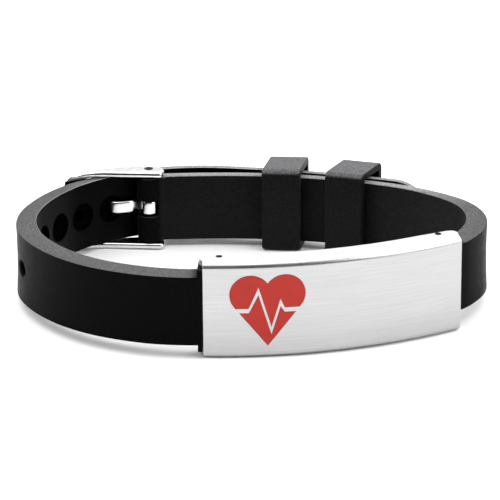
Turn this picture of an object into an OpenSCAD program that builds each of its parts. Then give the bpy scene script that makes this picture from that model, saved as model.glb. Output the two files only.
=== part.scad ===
// Adjustable silicone bracelet: a two-part moulded band, pinned at each end of a curved steel
// plate with a red enamel emblem, and closed at the back by a small pin buckle and two keepers.
// The bracelet lies on its edge, closed, and keeps its form.

/* [Plate] */
// Radius of the plate's outer face, across the wrist
plate_r = 77.5; // [70:0.5:90]
// Length of the face, measured round its curve
plate_len = 44.6; // [43:0.2:46]
// Height of the plate, across the band
plate_h = 16.8; // [16.4:0.1:17.4]
// Thickness of the sheet
sheet = 1.1; // [1:0.1:1.3]
// Depth of the upper and lower flanges, from the face
flange = 4; // [3.9:0.1:4.4]
// Depth of the flanges at their ends
flange_end = 3.6; // [3.5:0.05:3.8]
// How far the flanges' ends stand past the face's ends
flange_over = 0.6; // [0.3:0.1:0.7]
// Rounding where the face turns into the flanges
edge_r = 0.8; // [0.3:0.1:0.9]

/* [Plate pins] */
// Distance between the two pins, round the curve
pins_apart = 39.2; // [38:0.2:39.8]
// Depth of the pins behind the face
pin_in = 3.2; // [3:0.05:3.25]
// Diameter of a pin between the flanges
pin_d = 1.5; // [1.2:0.1:1.6]
// Diameter of a pin's tips, in the flanges
pin_tip_d = 0.9; // [0.8:0.1:1]
// How far a pin's tips lie below the flanges' faces
pin_sunk = 0.8; // [0.3:0.1:0.9]

/* [Emblem] */
// Place of the emblem's middle from the middle of the face, round the curve
emblem_at = -11.7; // [-13:0.1:-9]
// Height of the emblem's middle over the plate's lower edge
emblem_up = 8.4; // [8:0.1:8.8]
// Width of the heart
heart_w = 12.4; // [10:0.2:13]
// Height of the heart
heart_h = 12.4; // [11:0.2:13]
// Depth of the enamel's pocket
enamel_in = 0.4; // [0.3:0.05:0.5]
// Width of the bare steel line across the heart
line_w = 0.75; // [0.6:0.05:1]

/* [Band] */
// Width of the band
band_w = 12; // [11.6:0.1:12.2]
// Radius of the moulded eye round a plate pin
eye_r = 1.8; // [1.7:0.05:1.85]
// Length of the band's wide end past the plate
shoulder = 1.3; // [1:0.1:1.6]
// How far the long half stands proud of the plate's face, beside it
proud = 0.1; // [0:0.05:0.3]
// Radius of the short half's eye, round the buckle's pin
end_eye_r = 2.1; // [1.9:0.05:2.1]

/* [Adjusting holes] */
// Number of holes in the long half
holes = 8; // [6:1:8]
// Distance between two holes along the band
hole_pitch = 6.3; // [6.2:0.1:6.4]
// Diameter of a hole
hole_d = 2.6; // [2.4:0.1:3]
// Diameter of the one that the prong stretches
prong_hole_d = 3.3; // [3.2:0.1:3.5]
// Diameter of the recess round a hole, on the inner side
recess_d = 4.8; // [4.4:0.1:5.4]

/* [Buckle] */
// Diameter of the buckle's pin
buckle_pin_d = 1.5; // [1.2:0.1:1.6]
// Thickness of the buckle's arms, across the band
arm = 1.05; // [0.9:0.05:1.1]
// Length of the frame, from its pin to its far end
frame_len = 15; // [14.8:0.1:15.2]
// Width of the frame's far bar
bar_w = 4; // [1.8:0.1:4]
// Thickness of the far bar
bar_t = 0.75; // [0.65:0.05:0.75]
// Rounding of the frame's outer corners
corner_r = 2; // [1.5:0.1:2.4]
// Rounding of the frame's inner corners
inner_r = 0.8; // [0.4:0.1:1]
// Width of the prong
prong_w = 2; // [1.8:0.1:2.2]
// Thickness of the prong
prong_t = 0.7; // [0.6:0.05:0.75]
// Width of the prong's loop round the pin
loop_w = 2.6; // [2.4:0.1:2.7]
// How far the prong sits above the band's middle line
prong_up = 0.3; // [0:0.05:0.3]

/* [Keepers] */
// Length of a keeper along the band
keeper_len = 6.6; // [5:0.1:7]
// Depth of a keeper, through both layers of the band
keeper_deep = 7.7; // [7.6:0.1:8.2]
// Height of a keeper, across the band
keeper_h = 15.15; // [14.9:0.05:15.2]
// Thickness of a keeper's wall over the band's inner face
keeper_front = 1.3; // [1.1:0.05:1.35]
// Thickness of a keeper's other walls
keeper_wall = 1.2; // [1.1:0.05:1.25]
// Rounding of a keeper's outer corners
keeper_r = 1.1; // [0.8:0.1:1.6]

/* [Rest] */
// How far the bracelet leans back, from the plate's edge onto the keepers and buckle
lean = 1.5; // [1.45:0.01:1.55]

/* [Hidden] */

$fn = 96;
play = 0.1;                        // gap between pieces that meet
past = 1;                          // how far a cut runs past what it cuts
rubber = "#1e1e20";
steel = "#d9dadb";
enamel = "#be3c34";

band_low = (plate_h - band_w) / 2; // height of the band's lower edge
mid_h = plate_h / 2;               // height of the band's middle line
block_h = plate_h - 2 * (sheet + play);
plate_mid = [0, 74.3];             // centre of the plate's curve
plate_end = plate_len / 2;
pin_at = pins_apart / 2;
outside = 1;                       // sides of a path that runs round the loop
inside = -1;

// Each half of the band follows a chain of arcs, from the plate to its free end.
// Columns: length of the arc, turn in degrees (positive to the left).
long_start = [-23.6, 2.2, 162];    // place and heading
long_run = [
    [14.5, -22.5], [17, -36], [14, -45.5], [14, -30], [14.5, -28.5], [12.5, -21.5], [36.5, -12.8]
];
short_start = [22.6, 4.7, 36];
short_run = [[6.5, 21], [14, 64], [13, 24], [28.5, 20], [13.5, 6]];

// Columns: distance along the half, thickness there.
long_thick = [[0, 3.7], [30, 3.5], [36, 3.5], [48, 2.6], [60, 1.8], [75, 1.1], [123, 0.9]];
short_thick = [[0, 3.7], [6, 3.8], [12, 3.2], [20, 2.1], [28, 1.6], [36, 1.4], [76, 1.5]];

prong_hole = 65.2;                 // distance of the prong's hole along the long half
holes_past = 2;                    // holes on the tail, past the prong
tip_over = 0.05;                   // the tail's round tip is this much wider than half the band

long_len = total(long_run);
short_len = total(short_run);
buckle_at = walk(short_start, short_run, short_len);
buckle_xy = [buckle_at.x, buckle_at.y];

// Middle of everything, and the height that the lean takes off the plate's inner corners.
long_edge = side_points(long_start, long_run, long_thick, long_len, outside);
short_edge = side_points(short_start, short_run, short_thick, short_len, outside);
mid_x = (min([for (p = long_edge) p.x]) + max([for (p = short_edge) p.x])) / 2;
back_y = max([for (p = long_edge) p.y]) * cos(lean) + (band_low + band_w) * sin(lean);
front_y = (plate_mid.y - plate_r) * cos(lean);
foot_y = plate_point(plate_end - 0.7, flange_end).y;

function total(run) = sum([for (arc = run) arc[0]]);
function sum(list, i = 0) = i == len(list) ? 0 : list[i] + sum(list, i + 1);

// Place and heading after one arc.
function after(pose, dist, turn) =
    let (r = dist / (turn * PI / 180), h = pose.z)
    [pose.x + r * (sin(h + turn) - sin(h)), pose.y - r * (cos(h + turn) - cos(h)), h + turn];

// Place and heading at a distance along a chain of arcs.
function walk(pose, run, dist, i = 0) =
    i == len(run) - 1 || dist <= run[i][0]
        ? after(pose, max(dist, 0.001), run[i][1] * max(dist, 0.001) / run[i][0])
        : walk(after(pose, run[i][0], run[i][1]), run, dist - run[i][0], i + 1);

function beside(pose, d) = [pose.x - d * sin(pose.z), pose.y + d * cos(pose.z)];

// One face of a half, as points 2 mm apart. The long half has its outside on the left of its way.
function side_points(start, run, thick, last, side) =
    let (left = start.z > 90 ? 1 : -1, n = ceil(last / 2))
    [for (i = [0:n]) let (d = i * last / n)
        beside(walk(start, run, d), side * left * lookup(d, thick) / 2)];

function backward(list) = [for (i = [len(list) - 1:-1:0]) list[i]];

// A point of the plate: distance from its middle round the curve, depth behind the face.
function plate_point(along, depth) =
    let (a = along / plate_r * 180 / PI)
    plate_mid + (plate_r - depth) * [sin(a), -cos(a)];

// Points round a circle, from one angle to another.
function round_points(c, r, from, to, n) = [
    for (i = [0:n]) let (a = from + (to - from) * i / n) c + r * [cos(a), sin(a)]
];

// Points along a bow from p to q that stands off its chord to the left by rise.
function bow(p, q, rise, n = 8) =
    let (d = q - p, half = norm(d) / 2, left = [-d.y, d.x] / norm(d))
    let (r = (half * half + rise * rise) / (2 * rise), c = (p + q) / 2 + (rise - r) * left)
    let (a = atan2(p.y - c.y, p.x - c.x), b = atan2(q.y - c.y, q.x - c.x))
    round_points(c, abs(r), a, a + turn_between(a, b), n);
function turn_between(a, b) = (b - a + 540) % 360 - 180;

// Corners of a rectangle with round corners, in order.
function round_box(w, h, r, n = 5) = [
    for (k = [0:3])
        let (c = [(k == 0 || k == 3 ? 1 : -1) * (w / 2 - r), (k < 2 ? 1 : -1) * (h / 2 - r)])
        each round_points(c, r, 90 * k, 90 * k + 90, n)
];

// Lays the level bracelet down on its feet, with the middle of its box over the origin.
module lie() {
    translate([-mid_x, -(front_y + back_y) / 2, foot_y * sin(lean)])
        rotate([-lean, 0, 0])
            children();
}

// Puts something drawn at the origin at a place along a path, with X along the band.
module at_pose(pose) {
    translate([pose.x, pose.y, mid_h]) rotate([0, 0, pose.z]) children();
}

// A moulded half: the band, with its end between the flanges wider than the rest.
module half(outline, plate_side) {
    translate([0, 0, band_low]) linear_extrude(band_w) polygon(outline);
    intersection() {
        translate([0, 0, sheet + play]) linear_extrude(block_h) polygon(outline);
        translate([plate_mid.x, plate_mid.y, mid_h])
            rotate([0, 0, plate_side * (plate_end + shoulder) / plate_r * 180 / PI])
                translate([-plate_side * 10, -plate_r, 0])
                    cube([20, 20, plate_h], center = true);
    }
}

module plate_pin_bore(plate_side) {
    c = plate_point(plate_side * pin_at, pin_in);
    translate([c.x, c.y, -past]) cylinder(d = pin_d + 2 * play, h = plate_h + 2 * past);
}

// Adjusting hole with its recess on the band's inner face. Y is the outside there.
module adjusting_hole(dist, d) {
    t = lookup(dist, long_thick);
    at_pose(walk(long_start, long_run, dist)) {
        rotate([90, 0, 0]) cylinder(d = d, h = t + 4, center = true);
        translate([0, -t * 0.1, 0]) rotate([90, 0, 0]) cylinder(d = recess_d, h = t + past);
    }
}

// Everything past the tail's half-round tip.
module past_tip() {
    r = band_w / 2 + tip_over;
    at_pose(walk(long_start, long_run, long_len - r))
        difference() {
            translate([0, -3, -r - past]) cube([r + 3, 6, 2 * (r + past)]);
            rotate([90, 0, 0]) cylinder(r = r, h = 8, center = true);
        }
}

module strap_long() {
    eye = plate_point(-pin_at, pin_in);
    tilt = -pin_at / plate_r * 180 / PI;
    outline = concat(
        [plate_point(-plate_end - play, pin_in - eye_r), plate_point(-plate_end - play, -proud)],
        side_points(long_start, long_run, long_thick, long_len, outside),
        backward(side_points(long_start, long_run, long_thick, long_len, inside)),
        round_points(eye, eye_r, tilt + 90, tilt - 90, 10)
    );
    color(rubber)
        lie()
            difference() {
                half(outline, -1);
                plate_pin_bore(-1);
                for (i = [0:holes - 1])
                    adjusting_hole(
                        prong_hole + (holes_past - i) * hole_pitch,
                        i == holes_past ? prong_hole_d : hole_d
                    );
                past_tip();
            }
}

module strap_short() {
    eye = plate_point(pin_at, pin_in);
    swing = short_start.z;
    neck = 2.6;                    // where the band starts to thicken into the eye, from the pin
    slot_w = loop_w + 0.8;         // room for the prong's loop
    slot_in = 2.4;                 // how far the slot reaches past the pin
    outline = concat(
        round_points(eye, eye_r, swing + 90, swing + 270, 10),
        side_points(short_start, short_run, short_thick, short_len - neck, outside),
        round_points(buckle_xy, end_eye_r, buckle_at.z - 135, buckle_at.z + 135, 18),
        backward(side_points(short_start, short_run, short_thick, short_len - neck, inside))
    );
    color(rubber)
        lie()
            difference() {
                half(outline, 1);
                plate_pin_bore(1);
                translate([buckle_xy.x, buckle_xy.y, -past])
                    cylinder(d = buckle_pin_d + 2 * play, h = plate_h + 2 * past);
                at_pose(buckle_at)
                    translate([-slot_in, -band_w / 2, -slot_w / 2]) cube([band_w, band_w, slot_w]);
            }
}

// The plate's section, across: a channel with its outer corners rounded.
module channel() {
    r = plate_r;
    polygon(concat(
        [[r - flange, 0]],
        round_points([r - edge_r, edge_r], edge_r, -90, 0, 5),
        round_points([r - edge_r, plate_h - edge_r], edge_r, 0, 90, 5),
        [[r - flange, plate_h], [r - flange, plate_h - sheet], [r - sheet, plate_h - sheet]],
        [[r - sheet, sheet], [r - flange, sheet]]
    ));
}

// Plan of the plate's ends: straight at the face, bulging at the flanges, whose depth tapers.
function end_points() = concat(
    [[plate_end, -6]],
    bow([plate_end, sheet], [plate_end + flange_over, 2.4], -0.1, 3),
    bow([plate_end + flange_over, 2.5], [plate_end - 0.7, flange_end], -0.35, 5),
    [[plate_end - 6, flange + 0.02], [plate_end - 6, 8]]
);

module id_plate() {
    span = 2 * (plate_end + 1) / plate_r * 180 / PI; // angle of the ring that it is cut from
    right = [for (p = end_points()) plate_point(p[0], p[1])];
    left = [for (p = end_points()) plate_point(-p[0], p[1])];
    color(steel)
        lie()
            difference() {
                intersection() {
                    translate([plate_mid.x, plate_mid.y, 0])
                        rotate([0, 0, 270 - span / 2]) rotate_extrude(angle = span) channel();
                    translate([0, 0, -past])
                        linear_extrude(plate_h + 2 * past)
                            polygon(concat(right, backward(left)));
                }
                for (side = [-1, 1])
                    let (c = plate_point(side * pin_at, pin_in))
                        translate([c.x, c.y, -past])
                            cylinder(d = pin_tip_d + 0.2, h = plate_h + 2 * past);
                enamel_layer(enamel_in, -past, 0.05, line_w);
            }
}

// Right half of the heart's outline, from the notch over the lobe to the point, made larger.
function half_heart(more) =
    let (r = heart_w * 0.272, tip = [0, -heart_h / 2 - more * 1.4])
    let (c = [heart_w / 2 - r, heart_h / 2 - r], r = r + more)
    let (d = tip - c, reach = acos(r / norm(d)), to_tip = atan2(d.y, d.x))
    let (notch = acos(c.x / r))
    concat(round_points(c, r, 180 - notch, to_tip + reach, 14), [tip]);

module heart(more) {
    side = half_heart(more);
    last = len(side) - 1;
    polygon(concat(side, [for (i = [last - 1:-1:1]) [-side[i].x, side[i].y]]));
}

// The line crosses the heart level, with one tall and one deep peak. Its width is upright.
module pulse(w) {
    // Columns: place along the line, height, width there as a share of w.
    turns = [
        [-8, 0, 1], [-3.1, 0, 1], [-1.5, 3.4, 1.7], [0.6, -3.6, 1.7], [2.1, 1.3, 1.7],
        [2.8, 0, 1], [8, 0, 1]
    ];
    polygon(concat(
        [for (t = turns) [t[0], t[1] + t[2] * w / 2]],
        [for (t = backward(turns)) [t[0], t[1] - t[2] * w / 2]]
    ));
}

// The heart without its line, as a layer between two depths behind the plate's face.
module enamel_layer(deep, shallow, more, gap) {
    a = emblem_at / plate_r * 180 / PI;
    intersection() {
        translate([plate_mid.x, plate_mid.y, emblem_up])
            rotate([0, 0, a])
                translate([0, -plate_r + 3, 0])
                    rotate([90, 0, 0])
                        linear_extrude(6)
                            difference() {
                                heart(more);
                                pulse(gap);
                            }
        translate([plate_mid.x, plate_mid.y, 0])
            difference() {
                cylinder(r = plate_r - shallow, h = plate_h);
                translate([0, 0, -past]) cylinder(r = plate_r - deep, h = plate_h + 2 * past);
            }
    }
}

module emblem() {
    color(enamel) lie() enamel_layer(enamel_in - 0.05, 0.02, 0, line_w + 0.1);
}

// A spring pin: thick between the flanges, with a thin tip in each.
module plate_pin(plate_side) {
    c = plate_point(plate_side * pin_at, pin_in);
    color(steel)
        lie()
            translate([c.x, c.y, 0]) {
                translate([0, 0, sheet + play]) cylinder(d = pin_d, h = block_h);
                translate([0, 0, pin_sunk]) cylinder(d = pin_tip_d, h = plate_h - 2 * pin_sunk);
            }
}

module plate_pin_left() { plate_pin(-1); }
module plate_pin_right() { plate_pin(1); }

// Outer bow of the buckle's frame in plan, from its pin to its far end, at a depth inside it.
function frame_bow(depth) = bow([1.95, 0.84 - depth], [-frame_len - 0.01, 0.84 - depth], -1.6, 12);

// Plan of the frame: the outer bow, an inner bow that ends in a straight stretch, and a rounded
// end at the pin.
function frame_plan() =
    let (far_in = [-frame_len, -0.16], bend = [-7.75, 0.3], near_in = [1.5, -2.7])
    concat(frame_bow(0), bow(far_in, bend, 0.5, 6), bow(near_in, frame_bow(0)[0], -0.85));

// Room for the band between the arms, up to the far bar's inner side.
function band_room() = concat(frame_bow(bar_t), [[-frame_len - past, -4], [1.95, -4]]);

arm_top = band_low + band_w + 0.2 + arm;
arm_low = band_low - 0.1 - arm;

// The frame across the band: a U, open towards the keepers, with round corners at its far end.
module frame_front() {
    mouth = 5;                     // runs past the rounded end
    out_x = corner_r - frame_len;
    in_x = bar_w + inner_r - frame_len;
    polygon(concat(
        [[mouth, arm_low], [mouth, arm_low + arm]],
        backward(round_points([in_x, arm_low + arm + inner_r], inner_r, 180, 270, 4)),
        backward(round_points([in_x, arm_top - arm - inner_r], inner_r, 90, 180, 4)),
        [[mouth, arm_top - arm], [mouth, arm_top]],
        round_points([out_x, arm_top - corner_r], corner_r, 90, 180, 6),
        round_points([out_x, arm_low + corner_r], corner_r, 180, 270, 6)
    ));
}

module buckle_frame() {
    color(steel)
        lie()
            translate([buckle_xy.x, buckle_xy.y, 0])
                difference() {
                    intersection() {
                        linear_extrude(plate_h) polygon(frame_plan());
                        translate([0, 6, 0]) rotate([90, 0, 0]) linear_extrude(12) frame_front();
                    }
                    translate([0, 0, arm_low + arm])
                        linear_extrude(arm_top - arm_low - 2 * arm) polygon(band_room());
                    translate([0, 0, -past])
                        cylinder(d = buckle_pin_d + 0.1, h = plate_h + 2 * past);
                }
}

module buckle_pin() {
    sunk = 0.5;                    // how far its ends lie below the arms' faces
    color(steel)
        lie()
            translate([buckle_xy.x, buckle_xy.y, arm_low + sunk])
                cylinder(d = buckle_pin_d, h = arm_top - arm_low - 2 * sunk);
}

// The prong: rolled round the pin, then inside the band, out through a hole and over the frame.
module buckle_prong() {
    loop_in = buckle_pin_d / 2 + play;
    loop_out = loop_in + prong_t;
    rise = (loop_in + loop_out) / 2;
    // The middle line: off the loop, inside the band, through its hole, onto the frame's far bar.
    line = [[0, rise], [-1.5, 1.2], [-3.1, 0.6], [-5.75, 0.6], [-8.1, 2.8], [-14.9, 1.9]];
    thick = [0, prong_t / 2];
    color(steel)
        lie()
            translate([buckle_xy.x, buckle_xy.y, mid_h + prong_up])
                difference() {
                    union() {
                        cylinder(r = loop_out, h = loop_w, center = true);
                        linear_extrude(prong_w, center = true)
                            polygon(concat(
                                [for (p = line) p + thick],
                                [for (p = backward(line)) p - thick]
                            ));
                    }
                    cylinder(r = loop_in, h = loop_w + 2 * past, center = true);
                }
}

// A keeper is a loop of silicone, pushed a little askew by the band inside it.
module keeper(place, heading, skew) {
    low = 1.11;                    // height of a keeper's lower edge
    in_r = 0.2;                    // rounding of its inner corners
    in_h = keeper_h - 2 * keeper_wall - play;
    in_deep = keeper_deep - keeper_front - keeper_wall;
    slip = keeper_deep * tan(skew);
    color(rubber)
        lie()
            translate([place.x, place.y, low])
                rotate([0, 0, heading])
                    intersection() {
                        rotate([90, 0, 90])
                            linear_extrude(4 * keeper_len, center = true)
                                translate([keeper_deep / 2, keeper_h / 2])
                                    difference() {
                                        polygon(round_box(keeper_deep, keeper_h, keeper_r));
                                        translate([(keeper_front - keeper_wall) / 2, -play / 2])
                                            polygon(round_box(in_deep, in_h, in_r));
                                    }
                        translate([0, 0, -past])
                            linear_extrude(keeper_h + 2 * past)
                                translate([-keeper_len / 2, 0])
                                    polygon([
                                        [0, -past], [keeper_len, -past],
                                        [keeper_len + slip, keeper_deep + past], [slip, keeper_deep + past]
                                    ]);
                    }
}

module keeper_inner() { keeper([0.95, 38.55], -18, 12); }
module keeper_tip() { keeper([10.98, 34.2], -30, 16); }

strap_long();
strap_short();
id_plate();
emblem();
plate_pin_left();
plate_pin_right();
buckle_frame();
buckle_pin();
buckle_prong();
keeper_inner();
keeper_tip();
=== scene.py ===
# %% [markdown]
# A silicone bracelet with a steel plate
#
# The bracelet lies on its edge, closed. Two moulded silicone halves are pinned into the ends of a
# curved steel plate, and meet at the back in a small pin buckle and two keepers. The pins come from
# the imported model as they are. The other pieces are built here as finer meshes of the same shapes,
# because soft silicone and polished steel show every flat face and sharp edge of a plain solid.

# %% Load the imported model
import math
import bpy
import bmesh
from mathutils import Matrix, Vector


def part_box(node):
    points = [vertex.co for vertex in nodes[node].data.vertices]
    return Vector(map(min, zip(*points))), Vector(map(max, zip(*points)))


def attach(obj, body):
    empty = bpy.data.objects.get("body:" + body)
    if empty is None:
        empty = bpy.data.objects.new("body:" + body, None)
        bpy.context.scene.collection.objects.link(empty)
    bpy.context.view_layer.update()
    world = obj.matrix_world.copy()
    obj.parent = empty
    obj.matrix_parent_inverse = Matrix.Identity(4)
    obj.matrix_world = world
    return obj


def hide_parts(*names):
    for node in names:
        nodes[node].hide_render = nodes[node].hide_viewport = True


MM = 0.001
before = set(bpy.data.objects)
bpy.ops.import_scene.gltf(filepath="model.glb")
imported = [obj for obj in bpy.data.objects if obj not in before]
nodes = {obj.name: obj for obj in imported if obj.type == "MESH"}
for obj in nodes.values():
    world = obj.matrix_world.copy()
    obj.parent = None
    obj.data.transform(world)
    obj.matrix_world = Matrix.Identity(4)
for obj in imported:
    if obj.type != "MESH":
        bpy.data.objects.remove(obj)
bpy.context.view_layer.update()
scene = bpy.context.scene

# %% [markdown]
# The pieces are drawn level, with the plate standing upright, and then the whole bracelet leans
# back by a degree and a half onto its keepers and buckle. A turned parent object would do the same,
# but it would hide a turn in every mesh, so the points themselves are moved. The shift between the
# two frames is read off a plate pin, because its middle is known in both.

# %% From the level drawing to the resting bracelet
LEAN = math.radians(1.5)
PLATE_R = 77.5                  # radius of the plate's face
PLATE_MID = Vector((0, 74.3))   # middle of its curve, in plan
PLATE_END = 22.3                # half its length, round the curve
BAND_MID = 8.4                  # height of the band's middle
PIN_AT, PIN_IN = 19.6, 3.2      # a plate pin: from the middle round the curve, and behind the face


def plate_point(along, depth):
    """A point in plan: distance round the plate from its middle, and depth behind its face."""
    turn = along / PLATE_R
    return PLATE_MID + (PLATE_R - depth) * Vector((math.sin(turn), -math.cos(turn)))


def leaned(point, angle=LEAN):
    """A point or a direction, turned back about the x axis."""
    x, y, z = point
    return Vector((x, y * math.cos(angle) + z * math.sin(angle), z * math.cos(angle) - y * math.sin(angle)))


low, high = (Vector(corner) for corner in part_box("plate_pin_left"))
SHIFT = (low + high) / 2 / MM - leaned((*plate_point(-PIN_AT, PIN_IN), BAND_MID))


def laid(point):
    """A point of the level drawing, in mm, where it lies in the resting bracelet, in metres."""
    return (leaned(point) + SHIFT) * MM


def level(place):
    """The point of the level drawing, in mm, that lies at a place of the resting bracelet."""
    return leaned(Vector(place) / MM - SHIFT, -LEAN)


print("shift, mm:", [round(v, 3) for v in SHIFT])

# %% [markdown]
# A long lens looks down on the bracelet from the front left, so its lines stay nearly parallel. A
# constraint could aim the camera, but its place, the point that it aims at and a slight roll say
# the same in three plain values. They are given in the level frame.

# %% Camera
CAMERA_AT = (-133.50, -480.17, 223.31)
CAMERA_AIM = (-8.18, 23.31, 8.40)
CAMERA_ROLL = math.radians(0.4)
FOCAL_PX = 3310.5
FRAME_PX = 500
SENSOR_W = 36


def add_camera():
    place = laid(CAMERA_AT)
    ahead = (laid(CAMERA_AIM) - place).normalized()
    level_up = laid((0, 0, 1)) - laid((0, 0, 0))
    right = ahead.cross(level_up).normalized()
    down = ahead.cross(right)
    across = math.cos(CAMERA_ROLL) * right + math.sin(CAMERA_ROLL) * down
    down = ahead.cross(across)
    data = bpy.data.cameras.new("camera")
    data.sensor_width = SENSOR_W
    data.lens = FOCAL_PX / FRAME_PX * SENSOR_W
    camera = bpy.data.objects.new("camera", data)
    turn = Matrix((across, -down, -ahead)).transposed().to_4x4()
    camera.matrix_world = Matrix.Translation(place) @ turn
    scene.collection.objects.link(camera)
    scene.camera = camera
    return camera


camera = add_camera()
print("camera at, m:", [round(v, 3) for v in camera.matrix_world.translation])
print("lens, mm:", round(camera.data.lens, 1))

# %% [markdown]
# The bracelet stands on a white floor that reaches far past the picture. A floor that only catches
# shadows could stand in for it. But the floor is also seen in the steel and lights the silicone from
# below, so it is a real plane of matt white.

# %% Floor
FLOOR_DROP = 0.00001   # keeps the floor clear of what stands on it
FLOOR_REACH = 4.0
FLOOR_WHITE, FLOOR_ROUGH = (0.88, 0.88, 0.88), 0.9


def plain_material(name, colour, roughness, metallic=0.0):
    """A material that is the same all over."""
    material = bpy.data.materials.new(name)
    material.use_nodes = True
    shader = material.node_tree.nodes["Principled BSDF"]
    shader.inputs["Base Color"].default_value = (*colour, 1)
    shader.inputs["Roughness"].default_value = roughness
    shader.inputs["Metallic"].default_value = metallic
    return material


def add_floor():
    mesh = bpy.data.meshes.new("floor")
    sides = ((-1, -1), (1, -1), (1, 1), (-1, 1))
    corners = [(sx * FLOOR_REACH, sy * FLOOR_REACH, -FLOOR_DROP) for sx, sy in sides]
    mesh.from_pydata(corners, [], [(0, 1, 2, 3)])
    floor = bpy.data.objects.new("floor", mesh)
    scene.collection.objects.link(floor)
    mesh.materials.append(plain_material("floor_white", FLOOR_WHITE, FLOOR_ROUGH))
    return floor


floor = add_floor()
print("floor, m:", [round(v, 2) for v in floor.dimensions])

# %% [markdown]
# A large soft light hangs overhead, a wide one stands behind and one on each side. A picture of a
# room could light the scene too. But black silicone and steel show mostly what they reflect, and
# with area lights each of their greys can be set by moving or dimming one light.

# %% Soft lights
ROOM_GREY, ROOM_LIGHT = (0.5, 0.5, 0.5), 0.12
# Columns: name, place, point that it faces, size, power.
LIGHTS = [
    ("ceiling", (0.0, 0.55, 1.0), (0.0, 0.55, 0.0), (3.4, 2.4), 62),
    ("back", (0.05, 1.25, 0.55), (0.0, 0.0, 0.05), (2.4, 0.9), 7),
    ("right_front", (0.80, -0.70, 0.60), (0.0, 0.0, 0.0), (1.0, 0.8), 10),
    ("left", (-0.90, 0.10, 0.35), (0.0, 0.0, 0.0), (0.5, 0.6), 3.8),
]


def add_soft_light(name, place, aim, size, power):
    data = bpy.data.lights.new(name, "AREA")
    data.shape = "RECTANGLE"
    data.size, data.size_y = size
    data.energy = power
    light = bpy.data.objects.new(name, data)
    light.location = place
    light.rotation_euler = (Vector(aim) - Vector(place)).to_track_quat("-Z", "Y").to_euler()
    scene.collection.objects.link(light)


def add_room():
    """A faint grey from all round, behind the lights."""
    world = bpy.data.worlds.new("room")
    world.use_nodes = True
    background = world.node_tree.nodes["Background"]
    background.inputs["Color"].default_value = (*ROOM_GREY, 1)
    background.inputs["Strength"].default_value = ROOM_LIGHT
    scene.world = world


for row in LIGHTS:
    add_soft_light(*row)
add_room()
scene.view_settings.view_transform = "Standard"

# %% [markdown]
# Each finish is a small network of nodes on one Principled shader. Its grain could be a picture
# laid round the piece, but that needs seams and a flat layout. Noise in the object's own
# coordinates needs neither, and stays at the same size on every piece.

# %% A new finish, and what it can start from


def new_finish(name):
    material = bpy.data.materials.new(name)
    material.use_nodes = True
    tree = material.node_tree
    return material, tree, tree.nodes["Principled BSDF"]


def grain(tree, scale, detail=2.0, stretch=(1, 1, 1), roughness=0.5):
    """Noise in object coordinates, with about scale grains to the metre."""
    place = tree.nodes.new("ShaderNodeTexCoord")
    mapping = tree.nodes.new("ShaderNodeMapping")
    mapping.inputs["Scale"].default_value = stretch
    noise = tree.nodes.new("ShaderNodeTexNoise")
    noise.inputs["Scale"].default_value = scale
    noise.inputs["Detail"].default_value = detail
    noise.inputs["Roughness"].default_value = roughness
    tree.links.new(place.outputs["Object"], mapping.inputs["Vector"])
    tree.links.new(mapping.outputs["Vector"], noise.inputs["Vector"])
    return noise.outputs["Fac"]


def painted(tree, name):
    """A value that the mesh carries at its points."""
    attribute = tree.nodes.new("ShaderNodeAttribute")
    attribute.attribute_name = name
    return attribute.outputs["Fac"]


def facing_up(tree):
    """How far the surface faces up: 1 on a level top, 0 on an upright side."""
    normal = tree.nodes.new("ShaderNodeNewGeometry")
    parts = tree.nodes.new("ShaderNodeSeparateXYZ")
    tree.links.new(normal.outputs["Normal"], parts.inputs["Vector"])
    return parts.outputs["Z"]


print("a finish can start from: grain, painted values, the way that it faces")

# %% [markdown]
# Two nodes do most of the work after that. Map Range spreads a value over another range, and Mix
# blends two colours by a value. Each gets a short function, so that a finish reads like a recipe.

# %% Spread, tint and relief


def spread(tree, value, low, high, start=0.3, stop=0.7):
    """Spreads a value over a range of numbers. The ends may be numbers or other values."""
    node = tree.nodes.new("ShaderNodeMapRange")
    for socket, end in (("From Min", start), ("From Max", stop), ("To Min", low), ("To Max", high)):
        if isinstance(end, bpy.types.NodeSocket):
            tree.links.new(end, node.inputs[socket])
        else:
            node.inputs[socket].default_value = end
    tree.links.new(value, node.inputs["Value"])
    return node.outputs["Result"]


def tint(tree, value, dark, light):
    """Blends two colours by a value from 0 to 1. A colour may come from another node."""
    mix = tree.nodes.new("ShaderNodeMix")
    mix.data_type = "RGBA"
    for socket, colour in (("A", dark), ("B", light)):
        if isinstance(colour, bpy.types.NodeSocket):
            tree.links.new(colour, mix.inputs[socket])
        else:
            mix.inputs[socket].default_value = (*colour, 1)
    tree.links.new(value, mix.inputs["Factor"])
    return mix.outputs["Result"]


def relief(tree, value, depth, strength):
    """A bump of that depth, in metres."""
    bump = tree.nodes.new("ShaderNodeBump")
    bump.inputs["Distance"].default_value = depth
    bump.inputs["Strength"].default_value = strength
    tree.links.new(value, bump.inputs["Height"])
    return bump.outputs["Normal"]


print("and is made of: spread, tint, relief")

# %% [markdown]
# The silicone is black and matt. What faces up is paler, partly from pale dust and partly from painted
# light from above. The pale grey reaches over the rounded inner rim and less over the outer one. It
# could be a picture, but noise that is masked by the way the surface faces fits every piece without
# one. Three values painted on the mesh say how pale a place gets, how hazy its sides are, and whether
# it is on the inner side. Where the first is below zero, as in a hole, the silicone stays black and
# dull: painted shade.

# %% Black silicone
SKIN_LAYERS = ("dust_and_shading", "haze_and_shade", "inner")
# Colours between the specks and on them. The pale one on what faces up is dust and painted light.
CLEAN = (0.0002, 0.0002, 0.0002), (0.002, 0.002, 0.002)
HAZY = (0.008, 0.008, 0.008), (0.017, 0.017, 0.017)
DUSTY_AND_LIT = (0.10, 0.10, 0.103), (0.30, 0.30, 0.309)
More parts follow.
